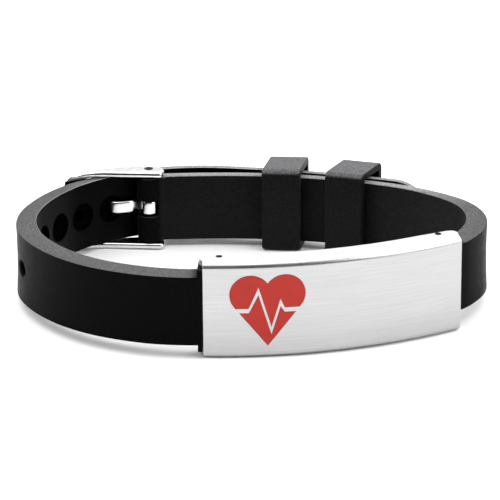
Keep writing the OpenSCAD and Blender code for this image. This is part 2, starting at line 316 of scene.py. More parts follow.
# How far up a face looks where its dust and painted light begin and where they are full: outer, inner side.
DUST_AND_LIGHT_BEGINS, DUST_AND_LIGHT_FULL = (0.55, 0.1), (0.98, 0.5)
# The painted highlight on the inner rim: its colour and share, and where it rises and falls.
RIM_HIGHLIGHT, RIM_SHARE = (0.75, 0.75, 0.76), 0.6
RIM_FROM, RIM_RISES, RIM_FALLS = 0.9, (0.1, 0.5), (0.85, 0.97)
SKIN_GLOSS, SKIN_SHEEN, SHEEN_ROUGH = 0.028, 0.05, 0.3
SKIN_ROUGH, SKIN_RELIEF = (0.38, 0.5), (0.00002, 0.4)


def silicone_finish():
    material, tree, shader = new_finish("black_silicone")
    speckle = grain(tree, 3600)
    broad = grain(tree, 700, detail=3.0)
    dust_and_shading, haze_and_shade, inner = [painted(tree, layer) for layer in SKIN_LAYERS]
    up = facing_up(tree)
    begin, full = [spread(tree, inner, *ends, 0, 1) for ends in (DUST_AND_LIGHT_BEGINS, DUST_AND_LIGHT_FULL)]
    # dust and painted light from above: the pale grey covers what faces up
    cover = spread(tree, up, 0, dust_and_shading, begin, full)
    edge = spread(tree, inner, 0, 1, RIM_FROM, 1)
    edge_up = spread(tree, up, 0, edge, *RIM_RISES)
    rim = spread(tree, up, edge_up, 0, *RIM_FALLS)
    speckles = spread(tree, speckle, 0, 1)
    clean, hazy, dust_and_light = [tint(tree, speckles, *pair) for pair in (CLEAN, HAZY, DUSTY_AND_LIT)]
    sides = tint(tree, haze_and_shade, clean, hazy)
    topped = tint(tree, cover, sides, dust_and_light)

    # painted shade: where the painted value is below zero, as in a hole, gloss, sheen and rim line fade out
    def off_in_holes(amount):
        return spread(tree, dust_and_shading, 0, amount, -1, 0)

    # painted highlight: a pale line along the rounded inner rim
    rim_highlight = spread(tree, rim, 0, off_in_holes(RIM_SHARE), 0, 1)
    tree.links.new(tint(tree, rim_highlight, topped, RIM_HIGHLIGHT), shader.inputs["Base Color"])
    tree.links.new(spread(tree, broad, *SKIN_ROUGH), shader.inputs["Roughness"])
    tree.links.new(off_in_holes(SKIN_GLOSS), shader.inputs["Specular IOR Level"])
    tree.links.new(off_in_holes(SKIN_SHEEN), shader.inputs["Sheen Weight"])
    shader.inputs["Sheen Roughness"].default_value = SHEEN_ROUGH
    tree.links.new(relief(tree, speckle, *SKIN_RELIEF), shader.inputs["Normal"])
    return material


black_silicone = silicone_finish()
print("finish:", black_silicone.name)

# %% [markdown]
# The plate is stainless steel, brushed along its length. An anisotropic shader could draw out the
# reflections, but the brush marks themselves are seen too, so they are noise that is drawn out
# along the band and very fine across it. Where the steel faces up its colour is a little brighter:
# painted light from above.

# %% Brushed steel
BRUSHED = (0.41, 0.41, 0.415), (0.49, 0.49, 0.495)
# painted light: the steel's colour is paler where it faces up
BRUSHED_LIT_TOP, TOP_RANGE = (0.60, 0.60, 0.605), (0.6, 0.95)
BRUSHED_ROUGH, BRUSHED_RELIEF = (0.27, 0.33), (0.00001, 0.2)
ACROSS_FINER = (1, 1, 70)


def brushed_finish():
    material, tree, shader = new_finish("brushed_steel")
    marks = grain(tree, 130, detail=3.0, stretch=ACROSS_FINER, roughness=0.6)
    cloud = grain(tree, 160)
    brushed = tint(tree, spread(tree, marks, 0, 1), *BRUSHED)
    upward = spread(tree, facing_up(tree), 0, 1, *TOP_RANGE)
    tree.links.new(tint(tree, upward, brushed, BRUSHED_LIT_TOP), shader.inputs["Base Color"])
    shader.inputs["Metallic"].default_value = 1
    tree.links.new(spread(tree, cloud, *BRUSHED_ROUGH), shader.inputs["Roughness"])
    tree.links.new(relief(tree, marks, *BRUSHED_RELIEF), shader.inputs["Normal"])
    return material


brushed_steel = brushed_finish()
print("finish:", brushed_steel.name)

# %% [markdown]
# The buckle is polished steel that daily wear has clouded a little. Inside the buckle, behind its far
# bar and where the prong bends towards its loop, the steel is painted nearly black as painted shade.
# A second material could show that, but it would end in a hard line, so a value that is painted on
# the mesh blends into it. The pins sit so deep in their holes that their steel is painted dull and
# dark, as painted shade.

# %% Polished steel and the steel of the pins
POLISHED = (0.70, 0.70, 0.705), (0.80, 0.80, 0.805)
POLISHED_ROUGH, SMOOTH_RELIEF = (0.10, 0.2), (0.00001, 0.1)
# painted shade: where the mesh is marked, the polished steel turns nearly black
SHADE_BLACK = (0.05, 0.05, 0.05)
# painted shade: a dark dull steel for the pins, which sit deep in their holes
SHADED_PIN, SHADED_PIN_ROUGH = (0.05, 0.05, 0.052), 0.4


def polished_finish():
    material, tree, shader = new_finish("polished_steel")
    cloud = grain(tree, 900, detail=3.0)
    colour = tint(tree, spread(tree, cloud, 0, 1), *POLISHED)
    tree.links.new(tint(tree, painted(tree, "painted_shade"), colour, SHADE_BLACK), shader.inputs["Base Color"])
    shader.inputs["Metallic"].default_value = 1
    tree.links.new(spread(tree, cloud, *POLISHED_ROUGH), shader.inputs["Roughness"])
    tree.links.new(relief(tree, cloud, *SMOOTH_RELIEF), shader.inputs["Normal"])
    return material


polished_steel = polished_finish()
shaded_pin_steel = plain_material("shaded_pin_steel", SHADED_PIN, SHADED_PIN_ROUGH, metallic=1.0)
print("finishes:", polished_steel.name, shaded_pin_steel.name)

# %% [markdown]
# The enamel is a red glass paste, melted into a shallow pocket and a little uneven in colour. Real
# glass lets light in, but so thin a layer over steel looks the same with a plain opaque shader,
# which also renders faster.

# %% Red enamel
ENAMEL_RED = (0.35, 0.010, 0.004), (0.40, 0.015, 0.007)
ENAMEL_ROUGH, ENAMEL_GLOSS = (0.3, 0.42), 0.3


def enamel_finish():
    material, tree, shader = new_finish("red_enamel")
    cloud = grain(tree, 420)
    colour = tint(tree, spread(tree, cloud, 0, 1), *ENAMEL_RED)
    tree.links.new(colour, shader.inputs["Base Color"])
    tree.links.new(spread(tree, cloud, *ENAMEL_ROUGH), shader.inputs["Roughness"])
    shader.inputs["Specular IOR Level"].default_value = ENAMEL_GLOSS
    tree.links.new(relief(tree, cloud, *SMOOTH_RELIEF), shader.inputs["Normal"])
    return material


red_enamel = enamel_finish()
print("finish:", red_enamel.name)

# %% [markdown]
# The band's route. In plan each half is one smooth line, from the plate to its free end. A Bezier
# curve could carry it, but the band gets thinner along the way and its holes are an even distance
# apart. A chain of arcs gives the place and the heading at any distance by a formula. It has the
# lengths and turns of the solid model, so the meshes stay where the solids are.

# %% The route of the two halves
# Starts: place and heading. Runs: length and turn of each arc. Thickness: at some distances.
LONG_START = (-23.6, 2.2, 162)
LONG_RUN = [(14.5, -22.5), (17, -36), (14, -45.5), (14, -30), (14.5, -28.5), (12.5, -21.5), (36.5, -12.8)]
LONG_THICK = [(0, 3.7), (30, 3.5), (36, 3.5), (48, 2.6), (60, 1.8), (75, 1.1), (123, 0.9)]
LONG_LEN = sum(arc[0] for arc in LONG_RUN)
SHORT_START = (22.6, 4.7, 36)
SHORT_RUN = [(6.5, 21), (14, 64), (13, 24), (28.5, 20), (13.5, 6)]
SHORT_THICK = [(0, 3.7), (6, 3.8), (12, 3.2), (20, 2.1), (28, 1.6), (36, 1.4), (76, 1.5)]
SHORT_LEN = sum(arc[0] for arc in SHORT_RUN)


def walk(start, run, dist):
    """Place and heading after a distance along a chain of arcs; straight on before its start."""
    x, y, heading = start
    if dist <= 0:
        a = math.radians(heading)
        return Vector((x + dist * math.cos(a), y + dist * math.sin(a))), a
    for k, (length, turn) in enumerate(run):
        part = dist if k == len(run) - 1 else min(dist, length)
        swing = turn * part / length
        r = part / math.radians(swing)
        a, b = math.radians(heading), math.radians(heading + swing)
        x, y = x + r * (math.sin(b) - math.sin(a)), y - r * (math.cos(b) - math.cos(a))
        heading += swing
        dist -= part
        if dist <= 1e-9:
            break
    return Vector((x, y)), math.radians(heading)


def thickness(table, dist):
    """Thickness at a distance, even between the table's places."""
    for (d0, t0), (d1, t1) in zip(table, table[1:]):
        if dist <= d1:
            return t0 + (t1 - t0) * max(dist - d0, 0) / (d1 - d0)
    return table[-1][1]


class Half:
    """One half of the band: where a point lies that is given along it and out from its middle."""

    def __init__(self, start, run, thick):
        self.start, self.run, self.thick = start, run, thick
        self.left = 1 if start[2] > 90 else -1

    def plan(self, dist, out):
        place, a = walk(self.start, self.run, dist)
        return place + self.left * out * Vector((-math.sin(a), math.cos(a)))

    def faces_at(self, dist):
        t = thickness(self.thick, dist)
        return self.plan(dist, t / 2), self.plan(dist, -t / 2)


long_half = Half(LONG_START, LONG_RUN, LONG_THICK)
short_half = Half(SHORT_START, SHORT_RUN, SHORT_THICK)
BUCKLE_AT, BUCKLE_TURN = walk(SHORT_START, SHORT_RUN, SHORT_LEN)
print("long half", LONG_LEN, "mm, short half", SHORT_LEN, "mm")
print("buckle's pin at, mm:", [round(v, 2) for v in BUCKLE_AT])

# %% [markdown]
# From a drawn mesh to a piece. Every piece ends in the same way: it is moved from the level drawing
# to its resting place, the moulded pieces' edges are rounded, and it stands for its solid. The
# rounding could be drawn too, but a bevel that reads a weight from each edge keeps the drawn mesh
# simple. Sharp edges are found by the angle between their faces, and the holes' small ones get less.

# %% Finish a piece
SHARP = math.radians(34)
SMALL_EDGE = 0.4       # rounding of a hole's edges, as a share of the rims'


def paint(mesh, name, values):
    """Keeps a value at every point of the mesh, for its material."""
    layer = mesh.attributes.new(name, "FLOAT", "POINT")
    layer.data.foreach_set("value", values)


def finish_piece(name, bm, material, node, round_by, fine=(), marks=None, layers=()):
    """Makes the object, rounds its sharp edges if round_by isn't 0, and lets it stand for its node.
    Edges between points in fine are rounded less. Marks hold a value of each layer for a point."""
    bmesh.ops.recalc_face_normals(bm, faces=bm.faces)
    weight = bm.edges.layers.float.new("bevel_weight_edge")
    for edge in bm.edges:
        if len(edge.link_faces) == 2 and edge.calc_face_angle(0) > SHARP:
            small = edge.verts[0] in fine and edge.verts[1] in fine
            edge[weight] = SMALL_EDGE if small else 1.0
    mesh = bpy.data.meshes.new(name)
    values = [marks[vert] for vert in bm.verts] if marks else []
    for vert in bm.verts:
        vert.co = laid(vert.co)
    bm.to_mesh(mesh)
    bm.free()
    for k, layer in enumerate(layers):
        paint(mesh, layer, [v[k] for v in values])
    mesh.materials.append(material)
    mesh.polygons.foreach_set("use_smooth", [True] * len(mesh.polygons))
    piece = bpy.data.objects.new(name, mesh)
    scene.collection.objects.link(piece)
    if round_by:
        bevel = piece.modifiers.new("round", "BEVEL")
        bevel.limit_method = "WEIGHT"
        bevel.width = round_by * MM
        bevel.segments = 3
        even = piece.modifiers.new("even", "WEIGHTED_NORMAL")
        even.keep_sharp = False
    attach(piece, "root")
    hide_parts(node)
    print(name, "vertices:", len(mesh.vertices), "faces:", len(mesh.polygons))
    return piece


# %% [markdown]
# A sheet with two faces. A half of the band is a grid of columns along it and rows across it, once
# for the outer face and once for the inner one. A flat grid with a Solidify modifier would be
# shorter, but the band's two faces aren't alike. Where a cell of the grid is left out, its sides
# are walled in, and that also makes the band's edges.

# %% A grid with two faces


class Grid:
    """Two faces of points over the same columns and rows, and the cells that are kept."""

    def __init__(self, columns, rows):
        self.bm = bmesh.new()
        self.points, self.verts = {}, {}
        self.kept = {(i, j) for i in range(columns - 1) for j in range(rows - 1)}
        self.dust_and_light = {}
        self.marks = {}
        self.fine = set()

    def set(self, i, j, outer, inner, dust_and_shading):
        """Places the two points of a column and row, with the dust and haze of each, which carry painted
        light and shade too.
        """
        self.points[i, j] = (Vector(outer), Vector(inner))
        self.dust_and_light[i, j] = dust_and_shading

    def vert(self, i, j, side):
        if (i, j, side) not in self.verts:
            vert = self.bm.verts.new(self.points[i, j][side])
            self.verts[i, j, side] = vert
            self.marks[vert] = (*self.dust_and_light[i, j][side], side)
        return self.verts[i, j, side]

    def fill(self, open_cells=()):
        """Makes the faces. Cells in open_cells are left out with no walls, for a hole's rings."""
        for i, j in sorted(self.kept):
            ring = [(i, j), (i + 1, j), (i + 1, j + 1), (i, j + 1)]
            self.bm.faces.new([self.vert(*c, 0) for c in ring])
            self.bm.faces.new([self.vert(*c, 1) for c in reversed(ring)])
            beyond = [(i, j - 1), (i + 1, j), (i, j + 1), (i - 1, j)]
            for k, cell in enumerate(beyond):
                if cell not in self.kept and cell not in open_cells:
                    a, b = ring[k], ring[(k + 1) % 4]
                    wall = [(*b, 0), (*a, 0), (*a, 1), (*b, 1)]
                    self.bm.faces.new([self.vert(*corner) for corner in wall])


def bridge(bm, rings):
    """Quads between closed rings of as many points each."""
    for p, q in zip(rings, rings[1:]):
        n = len(p)
        for k in range(n):
            bm.faces.new([p[k], p[(k + 1) % n], q[(k + 1) % n], q[k]])


print("a grid of 3 by 3 points keeps", len(Grid(3, 3).kept), "cells")

# %% [markdown]
# The long half starts as an eye round the left plate pin, fills the channel between the flanges,
# steps out beside the plate's end, and runs round the wrist to a round tail. It could be a bent bar
# with the holes cut out by booleans, but cuts leave ragged shading on soft curved faces. In a grid
# each hole gets rows and columns of its own, which are laid out first.

# %% Rows across the long half
BAND_HALF, BLOCK_HALF = 6.0, 7.2    # half heights of the band and of its wide end
HOLE_PITCH, HOLE_COUNT, FIRST_HOLE = 6.3, 8, 33.7
PATCH = HOLE_PITCH / 2              # half the square that a hole's rings fill
PATCH_CELLS = 8
step = 2 * PATCH / PATCH_CELLS
side_rows = [-BLOCK_HALF, -BAND_HALF, -5.1, -4.2]
patch_rows = [-PATCH + step * k for k in range(PATCH_CELLS + 1)]
LONG_ROWS = side_rows + patch_rows + [-z for z in reversed(side_rows)]
PATCH_ROW = LONG_ROWS.index(-PATCH)
print("rows across the long half:", len(LONG_ROWS))

# %% [markdown]
# The outer face is a little hollow across the band, as pulled silicone is, and its edges stand out.
# A sculpted dent could show that, but one small formula bends the whole face evenly. The same cell
# says how dusty and hazy the silicone is, with painted light and shade, which change from the plate
# to the back.

# %% Form, dust and painted light and shade of the long half's faces
WAIST = 0.14                        # how far the outer face dips across the band
FLARE_LOW, FLARE_TOP = 0.25, 0.12   # how far its lower and upper edges stand out
HOLLOW_TO, HOLLOW_EASE = 62.0, 6.0  # the hollow's end, and the length over which it comes and goes
# The pale grey of dust and painted light on what faces up grows from the front to the back.
FRONT_DUST_AND_LIGHT, BACK_DUST_AND_LIGHT, DUST_AND_LIGHT_RISE = 0.33, 1.0, (56, 68)
LONG_HAZE = 1.1
HAZE_FALLS, HAZE_LOSS = (34, 46), 0.5
# painted shade: the inner face darkens towards the buckle, in the shade of its arm
BY_BUCKLE, BUCKLE_SHADE = (52, 58), 0.6   # the inner face turns darker towards the buckle


def ramp(value, begin, end):
    """How far a value has come from begin to end, from 0 to 1."""
    return max(0.0, min(1.0, (value - begin) / (end - begin)))


def band_share(z):
    """A height over the band's middle, from -1 at its lower edge to 1 at its upper edge."""
    return max(-1.0, min(1.0, z / BAND_HALF))


def dip(z, amount):
    """How far the outer face lies in from its straight line, at a height over the band's middle."""
    share = band_share(z)
    flare = FLARE_LOW + (FLARE_TOP - FLARE_LOW) * (share + 1) / 2
    return amount * (WAIST * (1 - share ** 2) - flare)


def hollow_here(dist):
    """The share of the hollow along the long half: none beside the plate and at the buckle."""
    return min(ramp(dist, 0, HOLLOW_EASE), ramp(dist, HOLLOW_TO, HOLLOW_TO - HOLLOW_EASE))


def long_marks(dist):
    """Dust and painted light, and haze and painted shade, of the long half's outer and inner face."""
    dust_and_shading = FRONT_DUST_AND_LIGHT + (BACK_DUST_AND_LIGHT - FRONT_DUST_AND_LIGHT) * ramp(dist, *DUST_AND_LIGHT_RISE)
    haze_and_shade = LONG_HAZE - HAZE_LOSS * ramp(dist, *HAZE_FALLS) - BUCKLE_SHADE * ramp(dist, *BY_BUCKLE)
    return (dust_and_shading, 0.0), (dust_and_shading, haze_and_shade)


def long_pair(dist, z, amount):
    """The two points of the long half at a distance and a height."""
    t = thickness(LONG_THICK, dist)
    return (
        (*long_half.plan(dist, t / 2 - dip(z, amount)), BAND_MID + z),
        (*long_half.plan(dist, -t / 2), BAND_MID + z),
    )


print("the outer face stands out in its middle by, mm:", round(-dip(0, 1), 3))
print("and at its lower edge by:", -dip(-BAND_HALF, 1))

# %% [markdown]
# The flanges hide most of the wide end, but the channel is open on the wrist's side, and the eye
# round the pin shows there. Each column of the grid is a pair of points, one on the outer face and
# one on the inner. They could be typed in, but worked out from the pin, the plate and the band they
# fit all three.

# %% Columns of the long half's wide end
EYE_R = 1.8
EYE_STEPS = (74, 56, 38, 20, 4)     # degrees back from the eye's widest place
SHOULDER_AT = 23.15                 # end of the wide block, round the plate's curve
END_GAP = 0.1                       # between the plate's end and the block beside it
PROUD, BLOCK_IN = 0.1, 3.75         # the block stands out from the plate's face, and reaches behind it
# Shares of the way from the eye to the plate's end and to the band, for the two faces.
LONG_STEPS = [(0.35, 0.21), (0.7, 0.42), (1.0, 0.68)]
LAST_STEP = 0.72


def eye_columns(eye, ahead):
    """Pairs of points round a moulded eye, from its nose back to its widest place, outer one first."""
    pairs = []
    for k in EYE_STEPS:
        turns = [ahead + s * math.radians(90 + k) for s in (1, -1)]
        pair = [eye + EYE_R * Vector((math.cos(t), math.sin(t))) for t in turns]
        pairs.append(sorted(pair, key=lambda p: -(p - PLATE_MID).length))
    return pairs


def long_start_columns():
    """Pairs of points from the eye, past the plate's end, to the shoulder."""
    pairs = eye_columns(plate_point(-PIN_AT, PIN_IN), math.pi - PIN_AT / PLATE_R)
    outer, inner = pairs[-1]
    beside_end = -PLATE_END - END_GAP
    edge = plate_point(beside_end, PIN_IN - EYE_R)
    band_inner = long_half.faces_at(0)[1]
    for share_out, share_in in LONG_STEPS:
        pairs.append((outer.lerp(edge, share_out), inner.lerp(band_inner, share_in)))
    pairs.append((plate_point(beside_end, -PROUD), inner.lerp(band_inner, LAST_STEP)))
    pairs.append((plate_point(-SHOULDER_AT, -PROUD), plate_point(-SHOULDER_AT, BLOCK_IN)))
    return pairs


print("columns of the wide end:", len(long_start_columns()))

# %% [markdown]
# Eight adjusting holes lie along the band, each with a shallow recess on the inner face. A hole is
# a set of rings that are joined by quads, from the square of the outer face through the band to the
# square of the inner one. Cylinders would make them all alike, but soft silicone gives way: a mouth
# is wider than the middle, one hole is bent with the band, and the prong's hole hugs the prong.

# %% One hole and its rings
HOLE_R, PRONG_HOLE_R, RECESS_R = 1.3, 1.65, 2.4
RIM_R = 2.8            # the ring round a recess, and round a hole on the outer face
FLOOR_SHARE = 0.1      # depth of a recess's floor below the band's middle, as a share of its thickness
LIP, LIP_DEEP = 0.3, 0.45           # a hole's mouth on the outer face is wider, down to this depth
HOLE_TIGHT = 0.2                    # and its middle is a little tighter
PRONG_UP = 0.3                      # the prong runs this far above the band's middle
# Radius along the band, share of it upright, height, and slant, for the holes that aren't round.
SHAPES = {3: (HOLE_R, 1.0, 0.0, 0.45), 5: (PRONG_HOLE_R, 0.7, PRONG_UP, 0.7)}
FIRST_CORNER = math.radians(225)    # of the square, seen from the hole's middle
# painted shade: inside a hole the silicone gets no pale grey, gloss or sheen
IN_A_HOLE = (-1, 0, 0)


def square_loop(i0, j0, n):
    """The columns and rows round a square of n by n cells."""
    loop = [(i0 + k, j0) for k in range(n)] + [(i0 + n, j0 + k) for k in range(n)]
    return loop + [(i0 + n - k, j0 + n) for k in range(n)] + [(i0, j0 + n - k) for k in range(n)]


def add_hole(grid, i0, dist, hole_r, tall=1.0, up=0.0, slant=0.0):
    """Rings from the outer face's square, through the hole and its recess, to the inner square.
    A hole may be less tall than it is long, sit a little above the middle, and run slanted."""
    between = (hole_r + RECESS_R) / 2
    loop = square_loop(i0, PATCH_ROW, PATCH_CELLS)

    def ring(r, layer, small=True):
        verts = []
        for k in range(len(loop)):
            a = FIRST_CORNER + 2 * math.pi * k / len(loop)
            d, z = dist + r * math.cos(a), r * math.sin(a)
            if r < between:
                shift = slant if layer == "floor" else -slant
                d, z = dist + shift + (r - slant) * math.cos(a), r * tall * math.sin(a) + up
            t = thickness(LONG_THICK, d)
            face = t / 2 - dip(z, hollow_here(d))
            out = {"outer": face, "lip": face - LIP_DEEP, "floor": -t * FLOOR_SHARE, "inner": -t / 2}[layer]
            vert = grid.bm.verts.new((*long_half.plan(d, out), BAND_MID + z))
            outer_marks, inner_marks = long_marks(d)
            marks = {"outer": (*outer_marks, 0), "inner": (*inner_marks, 1)}
            deep = layer in ("lip", "floor") or (layer == "inner" and small)
            grid.marks[vert] = IN_A_HOLE if deep else marks[layer]
            verts.append(vert)
            if small:
                grid.fine.add(vert)
        return verts

    outer, inner = [[grid.vert(*c, side) for c in loop] for side in (0, 1)]
    inside_r = hole_r - (0 if slant > 0 else HOLE_TIGHT)
    rings = [outer, ring(RIM_R, "outer", False), ring(hole_r + LIP, "outer")]
    rings += [ring(inside_r, "lip"), ring(inside_r, "floor")]
    rings += [ring(between, "floor", False), ring(RECESS_R, "floor"), ring(RECESS_R, "inner")]
    bridge(grid.bm, rings + [ring(RIM_R, "inner", False), inner])


print("points round a hole:", len(square_loop(0, 0, PATCH_CELLS)))

# %% [markdown]
# Now the long half as a whole. Its tail ends in a half circle. A fan of triangles would do for
# that, but it would pinch the rounded edge at its middle, so the last square of cells is pressed
# into the round: its points move in, and those at its corners most.

# %% Make the long half
BAND_CELLS, TAIL_CELLS, TIP_CELLS = 34, 40, 8
TIP_R = 6.05
BAND_EDGE = 0.28       # rounding of the band's edges
# painted shade: the wide ends, in the shade of the plate, get no dust or haze
SHADED_PAIR = ((0, 0), (0, 0))
TIP_PAIR = ((BACK_DUST_AND_LIGHT, 0), (BACK_DUST_AND_LIGHT, 0.5))


def build_long():
    start = long_start_columns()
    shoulder = len(start) - 1
    holes_from = FIRST_HOLE - PATCH
    dists = [holes_from * k / BAND_CELLS for k in range(BAND_CELLS)]
    patch_from = len(start) + len(dists)
    dists += [holes_from + step * k for k in range(PATCH_CELLS * HOLE_COUNT + 1)]
    tail_from, tail_to = dists[-1], LONG_LEN - TIP_R
    dists += [tail_from + (tail_to - tail_from) * k / TAIL_CELLS for k in range(1, TAIL_CELLS + 1)]
    grid = Grid(len(start) + len(dists) + TIP_CELLS, len(LONG_ROWS))
    for j, z in enumerate(LONG_ROWS):
        for i, (outer, inner) in enumerate(start):
            grid.set(i, j, (*outer, BAND_MID + z), (*inner, BAND_MID + z), SHADED_PAIR)
        for i, dist in enumerate(dists, len(start)):
            grid.set(i, j, *long_pair(dist, z, hollow_here(dist)), long_marks(dist))
        share = band_share(z)
        for k in range(1, TIP_CELLS + 1):
            u = k / TIP_CELLS
            dist = tail_to + TIP_R * u * math.sqrt(1 - share ** 2 / 2)
            height = BAND_HALF * share * math.sqrt(1 - u ** 2 / 2)
            grid.set(len(start) + len(dists) + k - 1, j, *long_pair(dist, height, 0), TIP_PAIR)
    last_row = len(LONG_ROWS) - 2
    grid.kept = {(i, j) for i, j in grid.kept if i < shoulder or 0 < j < last_row}
    squares = range(PATCH_CELLS * HOLE_COUNT)
    holes = {(patch_from + a, PATCH_ROW + b) for a in squares for b in range(PATCH_CELLS)}
    grid.kept -= holes
    grid.fill(open_cells=holes)
    for h in range(HOLE_COUNT):
        shape = SHAPES.get(h, (HOLE_R,))
        add_hole(grid, patch_from + h * PATCH_CELLS, FIRST_HOLE + h * HOLE_PITCH, *shape)
    return grid


grid = build_long()
finish_piece(
    "strap_long_skin", grid.bm, black_silicone, "strap_long", BAND_EDGE,
    grid.fine, grid.marks, SKIN_LAYERS)

# %% [markdown]
# The short half starts in the same way at the plate's right end, runs round the back, and ends in a
# moulded eye round the buckle's pin, with a slot in the middle for the prong's loop. The slot could
# be cut out later. Here it is two rows of the grid that stop short of the eye, so its walls come by
# themselves. Beside a keeper the inner face lies in the shade, and its haze fades there as painted
# shade.

# %% Rows, dust and painted light and shade of the short half
SLOT_LOW, SLOT_TOP = -1.1, 1.7      # the slot hugs the prong's loop
half_rows = side_rows + [-3.3, -2.4]
SHORT_ROWS = half_rows + [SLOT_LOW, 0, SLOT_TOP] + [-z for z in reversed(half_rows)]
SHORT_RISES = (16, 30)              # the pale grey of dust and painted light rises from the front's to the back's between these
SHORT_HAZE, SHORT_FALLS, SHORT_LOSS = 1.25, (14, 40), 0.7
KEEPER_LEN = 6.6
# Columns: node, place of its front's middle, heading, skew of its open ends.
KEEPERS = [("keeper_inner", (0.95, 38.55), -18, 12), ("keeper_tip", (10.98, 34.2), -30, 16)]
# Painted shade by a keeper: what is left of the haze there, how far from it that reaches, and how far in
# under it.
SHADE, SHADE_REACH, UNDER_KEEPER = 0.15, 3.5, 1


def keeper_dist(place):
    """Distance along the short half that is nearest to a keeper."""
    steps = [k / 4 for k in range(int(4 * SHORT_LEN))]
    return min(steps, key=lambda d: (short_half.plan(d, 0) - Vector(place)).length)


def short_marks(dist):
    """Dust and painted light, and haze and painted shade, of the short half's outer and inner face."""
    dust_and_shading = FRONT_DUST_AND_LIGHT + (BACK_DUST_AND_LIGHT - FRONT_DUST_AND_LIGHT) * ramp(dist, *SHORT_RISES)
    haze_and_shade = SHORT_HAZE - SHORT_LOSS * ramp(dist, *SHORT_FALLS)
    # painted shade: the haze fades beside each keeper
    for row in KEEPERS:
        gap = keeper_dist(row[1]) - KEEPER_LEN / 2 - dist
        if gap > -UNDER_KEEPER:
            haze_and_shade *= SHADE + (1 - SHADE) * ramp(gap, 0, SHADE_REACH)
    return (dust_and_shading, 0.0), (dust_and_shading, haze_and_shade)


print("rows across the short half:", len(SHORT_ROWS))

# %% Make the short half
END_EYE_R = 2.1
EYE_TURNS = (135, 118, 100, 80, 60, 42, 26, 12)
EYE_PAIR = ((0, 0), (-0.8, 0.2))    # the eye's inner side lies in the shade of the band
NECK = 2.6             # where the band starts to thicken into the eye, from the pin
SHORT_CELLS = 76
SHORT_FROM = 0.6       # the first column of the even ones
SKEW, SKEW_OVER = 0.5, 4.0          # the first columns stand a little askew
SHORT_EASE, FLAT_FROM = 8, 26.0     # the hollow comes over this length, and ends where the tail lies
SHORT_STEPS = [(0.25, 0.25), (0.5, 0.5), (0.72, 0.98)]
# painted highlight: the rim line shows less on the short half
SHORT_INNER = 0.93     # keeps most of the bright line off the short half's rim


def short_columns():
    """Pairs of points with the share of the hollow and the marks there, and where the slot begins."""
    start = eye_columns(plate_point(PIN_AT, PIN_IN), math.radians(SHORT_START[2]))
    (outer, inner), (band_outer, band_inner) = start[-1], short_half.faces_at(0)
    for share_out, share_in in SHORT_STEPS:
        start.append((outer.lerp(band_outer, share_out), inner.lerp(band_inner, share_in)))
    columns = [(pair, 0, SHADED_PAIR) for pair in start]
    for k in range(SHORT_CELLS + 1):
        dist = SHORT_FROM + (SHORT_LEN - NECK - SHORT_FROM) * k / SHORT_CELLS
        skew = SKEW * ramp(dist, SKEW_OVER, 0)
        t_out, t_in = thickness(SHORT_THICK, dist - skew), thickness(SHORT_THICK, dist + skew)
        pair = (short_half.plan(dist - skew, t_out / 2), short_half.plan(dist + skew, -t_in / 2))
        amount = min(ramp(dist, 0, SHORT_EASE), ramp(dist, FLAT_FROM, FLAT_FROM - HOLLOW_EASE))
        columns.append((pair, amount, short_marks(dist)))
    for k in EYE_TURNS:
        turns = [BUCKLE_TURN + s * math.radians(k) for s in (-1, 1)]
        pair = [BUCKLE_AT + END_EYE_R * Vector((math.cos(t), math.sin(t))) for t in turns]
        columns.append((pair, 0, EYE_PAIR))
    return columns, len(start) - 1, len(columns) - len(EYE_TURNS)


def build_short():
    columns, shoulder, slot_from = short_columns()
    grid = Grid(len(columns), len(SHORT_ROWS))
    for i, ((outer, inner), amount, dust_and_shading) in enumerate(columns):
        way = (inner - outer).normalized()
        for j, z in enumerate(SHORT_ROWS):
            grid.set(i, j, (*(outer + way * dip(z, amount)), BAND_MID + z), (*inner, BAND_MID + z), dust_and_shading)
    last_row = len(SHORT_ROWS) - 2
    slot_rows = range(SHORT_ROWS.index(SLOT_LOW), SHORT_ROWS.index(SLOT_TOP))
    grid.kept = {(i, j) for i, j in grid.kept if i < shoulder or 0 < j < last_row}
    grid.kept -= {(i, j) for i, j in grid.kept if i >= slot_from and j in slot_rows}
    grid.fill()
    for vert, (dust_and_shading, haze_and_shade, inner) in grid.marks.items():
        grid.marks[vert] = (dust_and_shading, haze_and_shade, min(inner, SHORT_INNER))
    return grid


grid = build_short()
finish_piece(
    "strap_short_skin", grid.bm, black_silicone, "strap_short", BAND_EDGE,
    grid.fine, grid.marks, SKIN_LAYERS)

# %% [markdown]
# A keeper is a loop of silicone round both layers of the band. Each was pushed a little askew, so
# its two open ends are slanted alike. A round box with a hole cut through it would do, but as a
# stack of rings it needs no cut: the outline goes from one open end to the other, and the hollow
# comes back again. Both rings have as many points, so that quads join them at the open ends.

# %% A rectangle with round corners


def round_box(w, h, r, mid, corner_cells=6, side_cells=6):
    """Points round a rectangle with round corners, as many for a small radius as for a large one."""
    corners = []
    for k in range(4):
        to_right, to_top = (1 if k in (0, 3) else -1), (1 if k < 2 else -1)
        centre = Vector((to_right * (w / 2 - r), to_top * (h / 2 - r))) + Vector(mid)
        turns = [math.radians(90 * (k + m / corner_cells)) for m in range(corner_cells + 1)]
        corners.append([centre + r * Vector((math.cos(t), math.sin(t))) for t in turns])
    points = []
    for corner, following in zip(corners, corners[1:] + corners[:1]):
        points += corner
        points += [corner[-1].lerp(following[0], m / side_cells) for m in range(1, side_cells)]
    return points


print("points of a round box:", len(round_box(2, 2, 0.5, (0, 0))))

